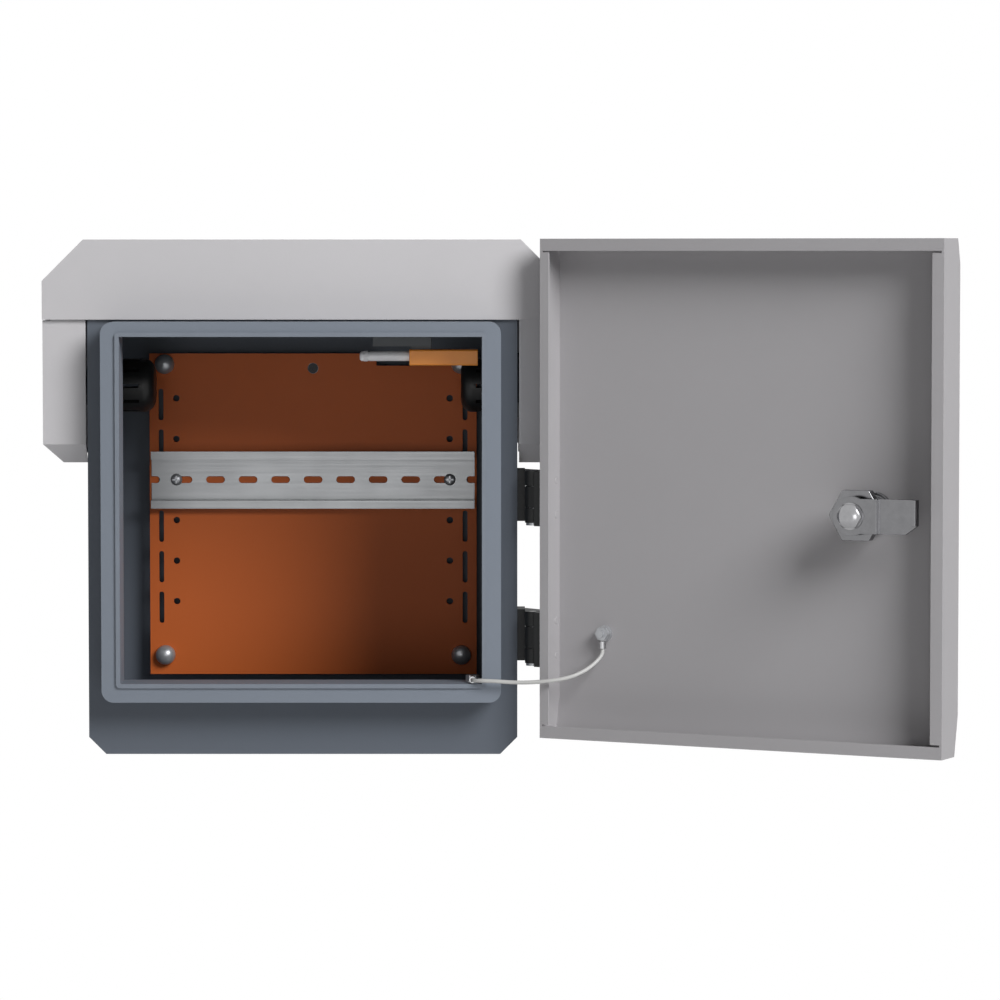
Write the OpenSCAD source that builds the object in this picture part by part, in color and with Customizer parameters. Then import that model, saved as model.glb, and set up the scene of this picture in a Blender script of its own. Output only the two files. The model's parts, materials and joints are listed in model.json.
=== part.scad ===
// Wall-mounted sheet-steel control cabinet with a hinged pan door, a rain hood and a mounting plate.
// Origin: centre of the four wall holes, on the back face. X right, -Y out of the wall, Z up.

/* [Body] */
// Outside width of the cabinet body
body_w = 250; // [240:1:400]
// Outside height of the cabinet body
body_h = 298.5; // [290:0.5:420]
// Depth of the body from the wall to its front plane
body_d = 162; // [140:1:260]
// Thickness of the body's sheet
sheet_t = 1.5; // [1:0.1:2.5]
// Bevel on the two lower edges of the body
body_bevel = 10; // [4:0.5:18]
// Height of the wall-hole pattern's centre above the body's underside
origin_up = 150; // [140:1:200]
// Distance between the wall holes, side to side
wall_hole_dx = 200; // [120:1:210]
// Distance between the wall holes, top to bottom
wall_hole_dz = 260; // [250:1:264]
// Diameter of the wall holes
wall_hole_d = 8.5; // [5:0.5:11]

/* [Rim] */
// Width of the door opening
open_w = 209; // [200:1:212]
// Height of the door opening
open_h = 200.5; // [195:0.5:204]
// Underside of the door opening above the body's underside
open_up = 43.5; // [41:0.5:46]
// Width of the sealing rim's face
rim_band = 11; // [8:0.5:11.5]
// Width of the rim's face above the opening
rim_top_band = 8.5; // [6:0.5:9]
// Height of the sealing rim in front of the body
rim_h = 24.5; // [14:0.5:25]
// Outer corner radius of the sealing rim
rim_r = 7; // [3:0.5:10]

/* [Hood] */
// Height of the hood's front plate
fascia_h = 46.5; // [38:0.5:47]
// How far the hood stands past each side of the body
hood_over = 26; // [20:1:34]
// Bevel on the hood's two upper edges
hood_bevel = 24; // [10:1:28]
// Thickness of the hood's sheet
hood_t = 1.5; // [1:0.1:2]
// Gap between the body's front and the back of the hood's front plate
fascia_gap = 1.5; // [1:0.1:1.6]
// How far the back of the hood stays off the wall
hood_off_wall = 8; // [4:1:30]
// Gap between the upper hinge and the underside of the side shrouds
shroud_gap = 3.75; // [1:0.25:20]
// Bevel round the lower edge of the side shrouds
shroud_bevel = 11; // [6:0.5:14]

/* [Door] */
// Outside width of the door
door_w = 249; // [240:1:400]
// Outside height of the door
door_h = 288; // [250:1:420]
// Underside of the door above the body's underside
door_up = 12.4; // [6:0.2:20]
// Depth of the door's pan
door_d = 24; // [22:0.5:30]
// Thickness of the door's sheet
door_t = 1.5; // [1:0.1:2]
// Width of the lip folded in round the door's pan
lip_w = 7; // [5:0.1:8]
// Width of that lip on the hinge side, narrower so that it swings clear of the rim
hinge_lip_w = 5.5; // [4:0.1:5.6]
// Height of the slanted facet along the door's lower edge
foot_h = 23; // [10:0.5:30]
// How far that facet slants in
foot_in = 5; // [1:0.1:6]
// Height of the slanted facet along the door's upper edge
head_h = 14; // [8:0.5:25]
// How far that facet slants in
head_in = 3.4; // [1:0.1:5]
// Gap between the body's front and the closed door's lip
door_gap = 4; // [3.5:0.1:5]
// Angle by which the door stands open
door_open = 152.5; // [0:0.5:158]
// Width of the rubber seal on the rim
seal_w = 2.5; // [2:0.1:5]
// Gap between the seal and the closed door's panel
seal_gap = 0.5; // [0.3:0.1:1]

/* [Hinges] */
// Height of each hinge
hinge_h = 31.5; // [26:0.5:40]
// Middle of the upper hinge above the body's underside
hinge_top_up = 150.5; // [120:0.5:152]
// Middle of the lower hinge above the body's underside
hinge_low_up = 69; // [50:0.5:90]
// Hinge pin's distance out from the body's side
axis_out = 9; // [8.6:0.1:12]
// Hinge pin's distance in front of the body
axis_fwd = 14; // [12:0.5:14.5]
// Radius of the hinge knuckles
knuckle_r = 4.6; // [4:0.1:4.8]
// Diameter of the hinge pins
pin_d = 4; // [3:0.1:5]

/* [Mounting plate] */
// Width of the mounting plate
plate_w = 201; // [196:1:206]
// Height of the mounting plate
plate_h = 197.5; // [195:0.5:205]
// Underside of the mounting plate above the body's underside
plate_up = 33; // [31:0.5:36]
// Thickness of the mounting plate
plate_t = 2; // [1.5:0.1:3]
// Gap between the back wall and the mounting plate
plate_off = 11.5; // [8:0.5:30]
// Side-to-side distance of the plate's small holes
hole_dx = 168; // [160:1:172]
// Pitch of the plate's small holes and slots
hole_pitch = 25; // [24:0.5:26]
// Diameter of the plate's small holes
hole_d = 4; // [3:0.1:5]
// Side-to-side distance of the plate's slots
slot_dx = 186.8; // [184:0.2:188]
// Length of the plate's slots
slot_l = 19.4; // [12:0.2:20]
// Width of the plate's slots
slot_w = 3; // [2:0.1:4]
// Diameter of the domed plate bolts' heads
dome_d = 12; // [10:0.1:13]

/* [Rail] */
// Length of the mounting rail
rail_l = 198.5; // [180:0.5:200]
// Height of the mounting rail over its flanges
rail_h = 35; // [34:0.1:36]
// Depth of the mounting rail
rail_d = 7.5; // [7:0.1:15]
// Thickness of the mounting rail
rail_t = 1; // [0.8:0.1:1.5]
// Pitch of the rail's slots
rail_pitch = 20; // [18:1:25]
// Length of the rail's slots
rail_slot_l = 11.5; // [8:0.5:14]
// Height of the rail's slots
rail_slot_h = 4.2; // [4.1:0.1:6]

/* [Lock] */
// Distance of the lock's axis from the door's hinge edge
lock_in = 199; // [190:1:202]
// Height of the lock's axis above the body's underside
lock_up = 146.8; // [100:0.5:190]
// Length of the cam from the lock's axis
cam_l = 38.5; // [36:0.5:44]
// Width of the cam
cam_w = 19.4; // [14:0.2:21]
// Thickness of the cam
cam_t = 2.5; // [2:0.1:4]
// Gap between the cam and the back of the rim's wall
cam_gap = 1; // [0.5:0.1:2]

/* [Fittings] */
// Diameter of the side vents
vent_d = 32; // [28:0.5:36]
// Height of the side vents above the body's underside
vent_up = 213; // [205:0.5:225]
// Distance of the side vents behind the body's front
vent_back = 80; // [50:1:110]
// Length of the side vents inside the body
vent_l = 32; // [20:0.5:32]
// Length of the probe's housing
probe_l = 40; // [30:0.5:42]
// Height of the probe's housing
probe_h = 9.4; // [7:0.2:10]
// Diameter of the probe's stem
stem_d = 5.8; // [4:0.1:7]
// Length of the probe's bare stem
stem_l = 29; // [15:0.5:40]
// Diameter of the earth cable
cable_d = 2.4; // [1.5:0.1:3]

/* [Hidden] */

$fn = 48;
// Small overlap that keeps a cut clear of a face it passes through
cut = 1;
// Clearance of a screw's shank in its hole, on the radius
screw_gap = 0.1;
// Clearance between plates that only meet
fit_gap = 0.4;
diag = sqrt(2);

z0 = -origin_up;
z_top = z0 + body_h;
half_w = body_w / 2;
front_y = -body_d;
inner_w = half_w - sheet_t;
back_in = -sheet_t;

open_z0 = z0 + open_up;
open_z1 = open_z0 + open_h;
rim_y = front_y - rim_h;
flange_in = front_y + sheet_t;

hood_hw = half_w + hood_over;
hood_top = z_top + hood_t;
fascia_z0 = hood_top - fascia_h;
fascia_y0 = front_y - fascia_gap - hood_t;
hood_back = -hood_off_wall;
shroud_z0 = z0 + hinge_top_up + hinge_h / 2 + shroud_gap;
shroud_in = half_w + 1;
shroud_top = fascia_z0 - fit_gap;
shroud_tuck = 6;
flange_w = 16;
shroud_screw_z = [shroud_z0 + 18, shroud_top - 17];
rivet_r = 2;

hinge_x = half_w + axis_out;
hinge_y = front_y - axis_fwd;
door_x1 = hinge_x - 9.5;
door_x0 = door_x1 - door_w;
door_z0 = z0 + door_up;
door_z1 = door_z0 + door_h;
lip_y = front_y - door_gap;
pan_y0 = lip_y - door_d;
pan_in = pan_y0 + door_t;

leaf_t = 4.5;
knuckle_gap = 0.3;
pin_play = 0.06;
pin_seat = 0.03;
door_knuckle_h = 12.4;
body_leaf_h = hinge_h - 1.5;
leaf_screw_r = 1.9;
leaf_head_r = 3.3;
body_leaf_y1 = front_y + 22;
door_leaf_y0 = pan_y0 + 1.5;
door_leaf_y1 = lip_y - 1.5;

plate_y1 = back_in - plate_off;
plate_y0 = plate_y1 - plate_t;
plate_z0 = z0 + plate_up;
plate_z1 = plate_z0 + plate_h;
hole_top_z = z0 + 203;
slot_top_z = hole_top_z - 3.8;
notch_x0 = 39;
notch_x1 = 78;
notch_depth = 7.5;
bolt_dx = 182;
bolt_inset = [12, 6.5];
spacer_r = 5;
stud_r = 3;
centre_z = plate_z1 - 9.1;
centre_hole_r = 3.3;

rail_z = hole_top_z - 2 * hole_pitch;
rail_web = 27;
rail_screw_r = 2;
rail_head_r = 3.6;

lock_x = door_x1 - lock_in;
lock_z = z0 + lock_up;
arm_y = flange_in + cam_gap;
cam_jog = 3;
root_y = arm_y + cam_jog;
cam_root_r = 11;
cam_root_l = 13;
barrel_r = 10;
core_r = 6;
core_play = 0.05;
drive_w = 8;
drive_gap = 0.05;
escutcheon_r = 15;
escutcheon_t = 3;
housing_end = arm_y - 1.5;
collar_af = 28;
collar_l = 6;
cam_head_r = 7.5;

vent_y = front_y + vent_back;
vent_z = z0 + vent_up;
vent_neck_r = 12.8;
vent_hole_gap = 0.2;
vent_neck_out = 7;
vent_wall = 2.2;
vent_slots = 10;

probe_x1 = 102;
probe_z1 = z0 + 236;
probe_y = front_y + 15;
probe_w = 12;
stem_z = probe_z1 - 4;
tray_z = probe_z1 + 2;
tray_x0 = 41;
tray_x1 = 75;
tray_t = 1.5;
bracket_top = open_z1 + 18;

gland_w = 130;
gland_d = 60;
gland_y = -body_d / 2;
gland_lap = 11;
gland_seal_t = 2;
gland_t = 2;

earth_x = 99;
earth_y = front_y - 11;
lug_t = 0.8;
lug_r = 4.2;
lug_bore_r = 2.1;
barrel_lug_r = 1.9;
barrel_up = barrel_lug_r + 0.2;
vent_nut_r = 19.6;
vent_nut_t = 5;
door_stud_in = 31;
door_stud_z = z0 + 72.5;
door_lug_end = z0 + 64;

// Route of the earth cable from the body's lug to the door's lug, door standing open.
cable_route = [[99, -184, -104.4], [99, -186.5, -104.4], [99.8, -189.2, -104.3], [102.5, -191.4, -104.2],
    [107, -192.6, -104.2], [113, -193.1, -104.4], [119, -193.4, -104.8], [126, -194, -105],
    [133, -195, -104.8], [140, -196, -104.2], [147, -196.4, -103.4], [154, -195.8, -102],
    [160, -194.4, -100], [165.5, -192, -97.2], [170, -189.4, -93.8], [173, -187.6, -90.6],
    [174, -186.8, -88], [174, -186.8, -86]];
cable_sides = 8;

// ---- Shared shapes ----

// Outline in X and Z with 45-degree bevels, cb at the two lower and ct at the two upper corners.
function bevelled(hw, za, zb, cb, ct) = [[-hw, za + cb], [-hw + cb, za], [hw - cb, za], [hw, za + cb],
    [hw, zb - ct], [hw - ct, zb], [-hw + ct, zb], [-hw, zb - ct]];

// The same bevel, measured on an outline that lies t further in.
function inset_bevel(c, t) = max(c - (2 - diag) * t, 0.01);

// Extrudes an outline in X and Z from y = ya to y = yb.
module along_y(ya, yb) {
    translate([0, yb, 0]) rotate([90, 0, 0]) linear_extrude(yb - ya) children();
}

// Extrudes an outline in Y and Z from x = xa to x = xb.
module along_x(xa, xb) {
    translate([xa, 0, 0]) rotate([90, 0, 90]) linear_extrude(xb - xa) children();
}

// Box between two corners.
module block(a, b) {
    translate(a) cube([b[0] - a[0], b[1] - a[1], b[2] - a[2]]);
}

// Rod of radius r whose axis runs along Y from ya to yb.
module rod_y(x, z, ya, yb, r) {
    translate([x, yb, z]) rotate([90, 0, 0]) cylinder(h = yb - ya, r = r);
}

// Rod of radius r whose axis runs along X from xa to xb.
module rod_x(y, z, xa, xb, r) {
    translate([xa, y, z]) rotate([0, 90, 0]) cylinder(h = xb - xa, r = r);
}

// Rectangle with round corners, its middle at the origin.
module round_rect(w, h, r) {
    square([w - 2 * r, h], center = true);
    square([w, h - 2 * r], center = true);
    for (sx = [-1, 1], sz = [-1, 1])
        translate([sx * (w / 2 - r), sz * (h / 2 - r)]) circle(r);
}

// Turns a shape drawn at the closed door to where the open door is.
module at_door() {
    translate([hinge_x, hinge_y, 0]) rotate([0, 0, door_open]) translate([-hinge_x, -hinge_y, 0])
        children();
}

// Countersunk screw along +X: its head is flush at xa and its shank ends at xb.
module sunk_screw(y, z, xa, xb, r, head_r, dir = 1) {
    h = head_r - r;
    translate([xa, y, z]) rotate([0, dir * 90, 0]) {
        cylinder(h = h, r1 = head_r, r2 = r);
        cylinder(h = abs(xb - xa), r = r);
    }
}

// ---- Body ----

module wall_holes() {
    for (sx = [-1, 1], sz = [-1, 1])
        rod_y(sx * wall_hole_dx / 2, sz * wall_hole_dz / 2, back_in - cut, cut, wall_hole_d / 2);
}

module gland_screw_spots() {
    for (sx = [-1, 1], sy = [-1, 1])
        translate([sx * (gland_w + gland_lap) / 2, gland_y + sy * (gland_d + gland_lap) / 2, 0])
            children();
}

module body_shell() {
    inner_bevel = inset_bevel(body_bevel, sheet_t);
    color("slategray") difference() {
        along_y(front_y, 0) polygon(bevelled(half_w, z0, z_top, body_bevel, 0.01));
        along_y(flange_in, back_in)
            polygon(bevelled(inner_w, z0 + sheet_t, z_top - sheet_t, inner_bevel, 0.01));
        block([-open_w / 2, front_y - cut, open_z0], [open_w / 2, flange_in + cut, open_z1]);
        wall_holes();
        rod_x(vent_y, vent_z, -half_w - cut, half_w + cut, vent_neck_r + vent_hole_gap);
        block([-gland_w / 2, gland_y - gland_d / 2, z0 - cut],
            [gland_w / 2, gland_y + gland_d / 2, z0 + sheet_t + cut]);
        gland_screw_spots() translate([0, 0, z0 - cut]) cylinder(h = sheet_t + 2 * cut, r = 2.6);
        for (sx = [-1, 1], z = shroud_screw_z)
            rod_x(hood_back - flange_w / 2, z, sx * half_w - 2 * cut, sx * half_w + 2 * cut,
                rivet_r + screw_gap);
        for (sx = [-1, 1], y = hood_screw_y)
            translate([sx * hood_screw_x, y, z_top - 2 * cut]) cylinder(h = 3 * cut, r = 2 + screw_gap);
        for (zc = hinge_zs, dz = leaf_screw_dz)
            rod_x(body_leaf_screw_y, zc + dz, inner_w - cut, half_w + cut, leaf_screw_r + screw_gap);
        for (x = bracket_screw_x)
            rod_y(x, bracket_screw_z, front_y - cut, flange_in + cut, 1.5 + screw_gap);
    }
}

// Outside of the rim about the opening's centre, drawn in by t.
module rim_outline(t) {
    translate([0, (rim_top_band - rim_band) / 2])
        round_rect(open_w + 2 * (rim_band - t), open_h + rim_band + rim_top_band - 2 * t, rim_r - t);
}

module rim_frame() {
    mid_z = (open_z0 + open_z1) / 2;
    color("lightslategray") difference() {
        translate([0, 0, mid_z]) along_y(rim_y, front_y) difference() {
            rim_outline(0);
            square([open_w, open_h], center = true);
        }
        translate([0, 0, mid_z]) along_y(rim_y + sheet_t, front_y + cut) difference() {
            rim_outline(sheet_t);
            square([open_w + 2 * sheet_t, open_h + 2 * sheet_t], center = true);
        }
        translate([earth_x, earth_y, open_z0 - 3 * sheet_t]) cylinder(h = 4 * sheet_t, r = 2 + screw_gap);
    }
}

module rim_seal() {
    w = open_w + 2 * seal_w;
    h = open_h + 2 * seal_w;
    color("gainsboro") translate([0, 0, (open_z0 + open_z1) / 2])
        along_y(pan_in + seal_gap, rim_y) difference() {
            round_rect(w, h, seal_w);
            square([open_w, open_h], center = true);
        }
}

// ---- Hood ----

hood_screw_x = half_w - 20;
hood_screw_y = [front_y + 25, hood_back - 20];

module rain_hood() {
    in_bevel = inset_bevel(hood_bevel, hood_t);
    side_z0 = shroud_top + 2 * fit_gap;
    color("gainsboro") {
        difference() {
            along_y(fascia_y0, hood_back)
                polygon(bevelled(hood_hw, fascia_z0, hood_top, 0.01, hood_bevel));
            along_y(fascia_y0 + hood_t, hood_back - hood_t)
                polygon(bevelled(hood_hw - hood_t, fascia_z0 - cut, z_top, 0.01, in_bevel));
            along_y(hood_back - 2 * hood_t, hood_back + cut)
                polygon(bevelled(half_w, fascia_z0 - cut, z_top, 0.01, 0.01));
            block([-hood_hw - cut, fascia_y0 + hood_t, fascia_z0 - cut],
                [hood_hw + cut, hood_back + cut, side_z0]);
            for (sx = [-1, 1], y = hood_screw_y)
                translate([sx * hood_screw_x, y, z_top - cut])
                    cylinder(h = hood_t + 2 * cut, r = 2 + screw_gap);
        }
    }
}

module hood_screws() {
    head_z = z_top - sheet_t - 2.4;
    color("silver") for (sx = [-1, 1], y = hood_screw_y) translate([sx * hood_screw_x, y, 0]) {
        translate([0, 0, head_z + 1]) cylinder(h = hood_top - 0.2 - head_z - 1, r = 2);
        difference() {
            translate([0, 0, head_z]) cylinder(h = 2.4, r1 = 3.2, r2 = 4);
            for (a = [0, 90]) rotate([0, 0, a]) translate([-2.2, -0.4, head_z - 0.8]) cube([4.4, 0.8, 2]);
        }
    }
}

// Side shroud on the +X side: an open-bottomed channel whose lower end is bevelled in.
module shroud_shape() {
    t = hood_t;
    b = shroud_bevel;
    s = diag * t;
    difference() {
        intersection() {
            along_y(front_y, hood_back) polygon([[shroud_in, shroud_z0], [hood_hw - b, shroud_z0],
                [hood_hw, shroud_z0 + b], [hood_hw, shroud_top], [shroud_in, shroud_top]]);
            along_x(half_w, hood_hw + cut) polygon([[front_y + b, shroud_z0], [hood_back, shroud_z0],
                [hood_back, shroud_top], [front_y, shroud_top], [front_y, shroud_z0 + b]]);
        }
        intersection() {
            along_y(front_y, hood_back) polygon([[half_w, shroud_z0 - cut],
                [hood_hw - b - s - cut, shroud_z0 - cut], [hood_hw - t, shroud_z0 + b + s - t],
                [hood_hw - t, shroud_top + cut], [half_w, shroud_top + cut]]);
            along_x(half_w, hood_hw) polygon([[front_y + b + s + cut, shroud_z0 - cut],
                [hood_back - t, shroud_z0 - cut], [hood_back - t, shroud_top + cut],
                [front_y + t, shroud_top + cut], [front_y + t, shroud_z0 + b + s - t]]);
        }
    }
    block([shroud_in, front_y, shroud_top - cut], [hood_hw - 3 * t, front_y + t, shroud_top + shroud_tuck]);
    difference() {
        block([half_w, hood_back - flange_w, shroud_z0 + 6], [half_w + t, hood_back, shroud_top - 2]);
        for (z = shroud_screw_z)
            rod_x(hood_back - flange_w / 2, z, half_w - cut, half_w + t + cut, rivet_r + screw_gap);
    }
}

module right_shroud() {
    color("gainsboro") shroud_shape();
}

module left_shroud() {
    color("gainsboro") mirror([1, 0, 0]) shroud_shape();
}

module shroud_screws() {
    head_x = half_w + hood_t;
    color("silver") for (m = [0, 1]) mirror([m, 0, 0]) for (z = shroud_screw_z) {
        rod_x(hood_back - flange_w / 2, z, inner_w - 3, head_x, rivet_r);
        rod_x(hood_back - flange_w / 2, z, head_x, head_x + 2, 3.8);
    }
}

// ---- Mounting plate and rail ----

bolt_z = [plate_z0 + bolt_inset[0], plate_z1 - bolt_inset[1]];

module plate_bolt_spots() {
    for (sx = [-1, 1], z = bolt_z) translate([sx * bolt_dx / 2, 0, z]) children();
}

module mounting_plate() {
    color("chocolate") difference() {
        block([-plate_w / 2, plate_y0, plate_z0], [plate_w / 2, plate_y1, plate_z1]);
        block([notch_x0, plate_y0 - cut, plate_z1 - notch_depth], [notch_x1, plate_y1 + cut, plate_z1 + cut]);
        for (sx = [-1, 1], k = [0:5])
            rod_y(sx * hole_dx / 2, hole_top_z - k * hole_pitch, plate_y0 - cut, plate_y1 + cut, hole_d / 2);
        for (sx = [-1, 1], k = [0:5])
            translate([sx * slot_dx / 2, 0, slot_top_z - k * hole_pitch])
                along_y(plate_y0 - cut, plate_y1 + cut) round_rect(slot_w, slot_l, slot_w / 2 - 0.01);
        plate_bolt_spots() rod_y(0, 0, plate_y0 - cut, plate_y1 + cut, stud_r + 0.2);
        rod_y(0, centre_z, plate_y0 - cut, plate_y1 + cut, centre_hole_r);
    }
}

module plate_spacers() {
    color("silver") {
        plate_bolt_spots() difference() {
            rod_y(0, 0, plate_y1, back_in, spacer_r);
            rod_y(0, 0, plate_y1 - cut, back_in - 1.5, stud_r + screw_gap);
        }
        difference() {
            rod_y(0, centre_z, plate_y1, back_in, spacer_r);
            rod_y(0, centre_z, plate_y1 - cut, back_in - 1.5, 2 + screw_gap);
        }
    }
}

module plate_bolts() {
    dome_h = 4.2;
    sphere_r = (dome_d * dome_d / 4 + dome_h * dome_h) / (2 * dome_h);
    washer_t = 1.2;
    color("silver") plate_bolt_spots() {
        rod_y(0, 0, plate_y0 - washer_t, plate_y1 + 8, stud_r);
        rod_y(0, 0, plate_y0 - washer_t, plate_y0, dome_d / 2 - 0.4);
        rod_y(0, 0, plate_y0 - washer_t - 2.4, plate_y0 - washer_t, dome_d / 2);
        translate([0, plate_y0 - washer_t - 2.4, 0]) rotate([90, 0, 0]) rotate_extrude()
            intersection() {
                translate([0, dome_h - sphere_r]) circle(sphere_r, $fn = 96);
                square([dome_d, dome_h]);
            }
    }
}

module plate_centre_screw() {
    color("dimgray") difference() {
        union() {
            rod_y(0, centre_z, plate_y0 + 0.2, plate_y1, centre_hole_r - 0.2);
            rod_y(0, centre_z, plate_y1, plate_y1 + 7, 2);
        }
        for (a = [0, 90]) translate([0, 0, centre_z]) rotate([0, a, 0])
            block([-2, plate_y0 - cut, -0.45], [2, plate_y0 + 1.2, 0.45]);
    }
}

module din_rail() {
    web = rail_web / 2;
    edge = rail_h / 2;
    rail_y0 = plate_y0 - rail_d;
    slots = floor((rail_l / 2 - rail_slot_l / 2) / rail_pitch);
    color("lightgray") difference() {
        along_x(-rail_l / 2, rail_l / 2) translate([0, rail_z]) polygon([
            [rail_y0, -edge], [rail_y0, -web + rail_t], [plate_y0 - rail_t, -web + rail_t],
            [plate_y0 - rail_t, web - rail_t], [rail_y0, web - rail_t], [rail_y0, edge],
            [rail_y0 + rail_t, edge], [rail_y0 + rail_t, web], [plate_y0, web],
            [plate_y0, -web], [rail_y0 + rail_t, -web], [rail_y0 + rail_t, -edge]]);
        for (k = [-slots - 1:slots + 1])
            translate([k * rail_pitch, 0, rail_z]) along_y(plate_y0 - rail_t - cut, plate_y0 + cut)
                round_rect(rail_slot_l, rail_slot_h, rail_slot_h / 2 - 0.01);
        for (sx = [-1, 1])
            rod_y(sx * hole_dx / 2, rail_z, plate_y0 - rail_t - cut, plate_y0 + cut, rail_slot_h / 2);
    }
}

module rail_screws() {
    head_y = plate_y0 - rail_t;
    color("silver") for (sx = [-1, 1]) translate([sx * hole_dx / 2, 0, rail_z]) {
        rod_y(0, 0, head_y, plate_y1 + 4, hole_d / 2 - screw_gap);
        difference() {
            translate([0, head_y, 0]) rotate([90, 0, 0]) cylinder(h = 2.6, r1 = rail_head_r, r2 = 2.8);
            for (a = [0, 90]) rotate([0, a, 0]) block([-2, head_y - 4, -0.4], [2, head_y - 1.4, 0.4]);
        }
    }
}

// ---- Vents, probe and gland plate ----

// Vent on the +X side: a slotted cap inside, and a threaded neck out through the body's side.
module vent_shape() {
    r = vent_d / 2;
    nose = 7;
    w = vent_wall;
    translate([inner_w, vent_y, vent_z]) rotate([0, -90, 0]) difference() {
        union() {
            rotate_extrude() {
                square([r, vent_l - nose]);
                square([r - nose, vent_l]);
                translate([r - nose, vent_l - nose]) circle(nose);
            }
            cylinder(h = 7, r = r + 1.8, $fn = 6);
            translate([0, 0, -sheet_t - vent_neck_out])
                cylinder(h = sheet_t + vent_neck_out + cut, r = vent_neck_r);
        }
        translate([0, 0, -sheet_t - vent_neck_out - cut])
            cylinder(h = sheet_t + vent_neck_out + vent_l - w, r = vent_neck_r - w);
        for (k = [0:vent_slots - 1])
            rotate([0, 0, (k + 0.5) * 360 / vent_slots])
                translate([r / 2, -1.2, 10]) cube([r, 2.4, vent_l - nose - 12]);
    }
}

module right_vent() {
    color("#222426") vent_shape();
}

module left_vent() {
    color("#222426") mirror([1, 0, 0]) vent_shape();
}

module vent_nuts() {
    color("#2b2d2f") for (m = [0, 1]) mirror([m, 0, 0])
        translate([half_w, vent_y, vent_z]) rotate([0, 90, 0]) difference() {
            cylinder(h = vent_nut_t, r = vent_nut_r, $fn = 6);
            translate([0, 0, -cut]) cylinder(h = vent_nut_t + 2 * cut, r = vent_neck_r + screw_gap);
        }
}

module probe_body() {
    x0 = probe_x1 - probe_l;
    color("orange") difference() {
        translate([0, probe_y, probe_z1 - probe_h / 2]) along_x(x0, probe_x1)
            round_rect(probe_w, probe_h, 1.2);
        rod_x(probe_y, stem_z, x0 - cut, x0 + 8, stem_d / 2 + 0.05);
    }
}

module probe_stem() {
    x0 = probe_x1 - probe_l - stem_l;
    x1 = probe_x1 - probe_l + 7.5;
    color("whitesmoke") difference() {
        union() {
            rod_x(probe_y, stem_z, x0 + 1, x1, stem_d / 2);
            translate([x0 + 1, probe_y, stem_z]) rotate([0, -90, 0])
                cylinder(h = 1, r1 = stem_d / 2, r2 = stem_d / 2 - 0.8);
        }
        for (k = [0:3]) translate([x0 + 2.4 + k * 0.9, probe_y, stem_z]) rotate([0, 90, 0])
            difference() {
                cylinder(h = 0.45, r = stem_d / 2 + cut);
                translate([0, 0, -cut]) cylinder(h = 0.45 + 2 * cut, r = stem_d / 2 - 0.25);
            }
    }
}

bracket_screw_x = [48, 68];
bracket_screw_z = bracket_top - 6;

module probe_bracket() {
    y1 = probe_y + probe_w / 2;
    color("gray") difference() {
        union() {
            block([tray_x0, flange_in, tray_z], [tray_x1, y1, tray_z + tray_t]);
            block([tray_x0, flange_in, tray_z], [tray_x1, flange_in + tray_t, bracket_top]);
            for (x = [tray_x0, tray_x1 - tray_t])
                block([x, flange_in, tray_z], [x + tray_t, y1, tray_z + 3.6]);
            block([probe_x1 - probe_l + 1, probe_y - 4, probe_z1], [tray_x1, probe_y + 4, tray_z]);
        }
        for (x = bracket_screw_x)
            rod_y(x, bracket_screw_z, flange_in - cut, flange_in + 2 * cut + tray_t, 1.5 + screw_gap);
    }
}

module probe_bracket_screws() {
    head_y = flange_in + tray_t;
    color("silver") for (x = bracket_screw_x) {
        rod_y(x, bracket_screw_z, front_y, head_y, 1.5);
        rod_y(x, bracket_screw_z, head_y, head_y + 1.8, 2.8);
    }
}

module gland_sheet(za, zb, hole) {
    difference() {
        block([-gland_w / 2 - gland_lap, gland_y - gland_d / 2 - gland_lap, za],
            [gland_w / 2 + gland_lap, gland_y + gland_d / 2 + gland_lap, zb]);
        if (hole)
            block([-gland_w / 2, gland_y - gland_d / 2, za - cut],
                [gland_w / 2, gland_y + gland_d / 2, zb + cut]);
        gland_screw_spots() translate([0, 0, za - cut]) cylinder(h = zb - za + 2 * cut, r = 2.6);
    }
}

gland_z = z0 + sheet_t + gland_seal_t;

module gland_plate_seal() {
    color("#303234") gland_sheet(z0 + sheet_t, gland_z, true);
}

module gland_plate() {
    color("slategray") gland_sheet(gland_z, gland_z + gland_t, false);
}

module gland_plate_screws() {
    color("silver") gland_screw_spots() {
        translate([0, 0, z0]) cylinder(h = gland_z + gland_t - z0, r = 2.5);
        translate([0, 0, gland_z + gland_t]) cylinder(h = 3.2, r = 8 / diag / 1.2247, $fn = 6);
    }
}

// ---- Earth bonding ----

// Ring terminal lying flat at z = 0, its barrel leaving along -Y to y = -len, clear of the nut.
module ring_lug(len) {
    barrel = min(6, len - lug_r - 0.2);
    difference() {
        union() {
            cylinder(h = lug_t, r = lug_r);
            block([-1.5, barrel - len - 1, 0], [1.5, 0, lug_t]);
            translate([0, barrel - len, barrel_up]) rotate([90, 0, 0]) cylinder(h = barrel, r = barrel_lug_r);
        }
        translate([0, 0, -cut]) cylinder(h = 3 * cut, r = lug_bore_r);
    }
}

module body_earth_screw() {
    color("silver") translate([earth_x, earth_y, 0]) {
        translate([0, 0, open_z0 - 8]) cylinder(h = 8 + lug_t, r = 2);
        translate([0, 0, open_z0 + lug_t]) cylinder(h = 3, r = 4.04, $fn = 6);
    }
}

module body_earth_lug() {
    color("gainsboro") translate([earth_x, earth_y, open_z0]) ring_lug(11);
}

stud_x = door_x1 - door_stud_in;

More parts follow.
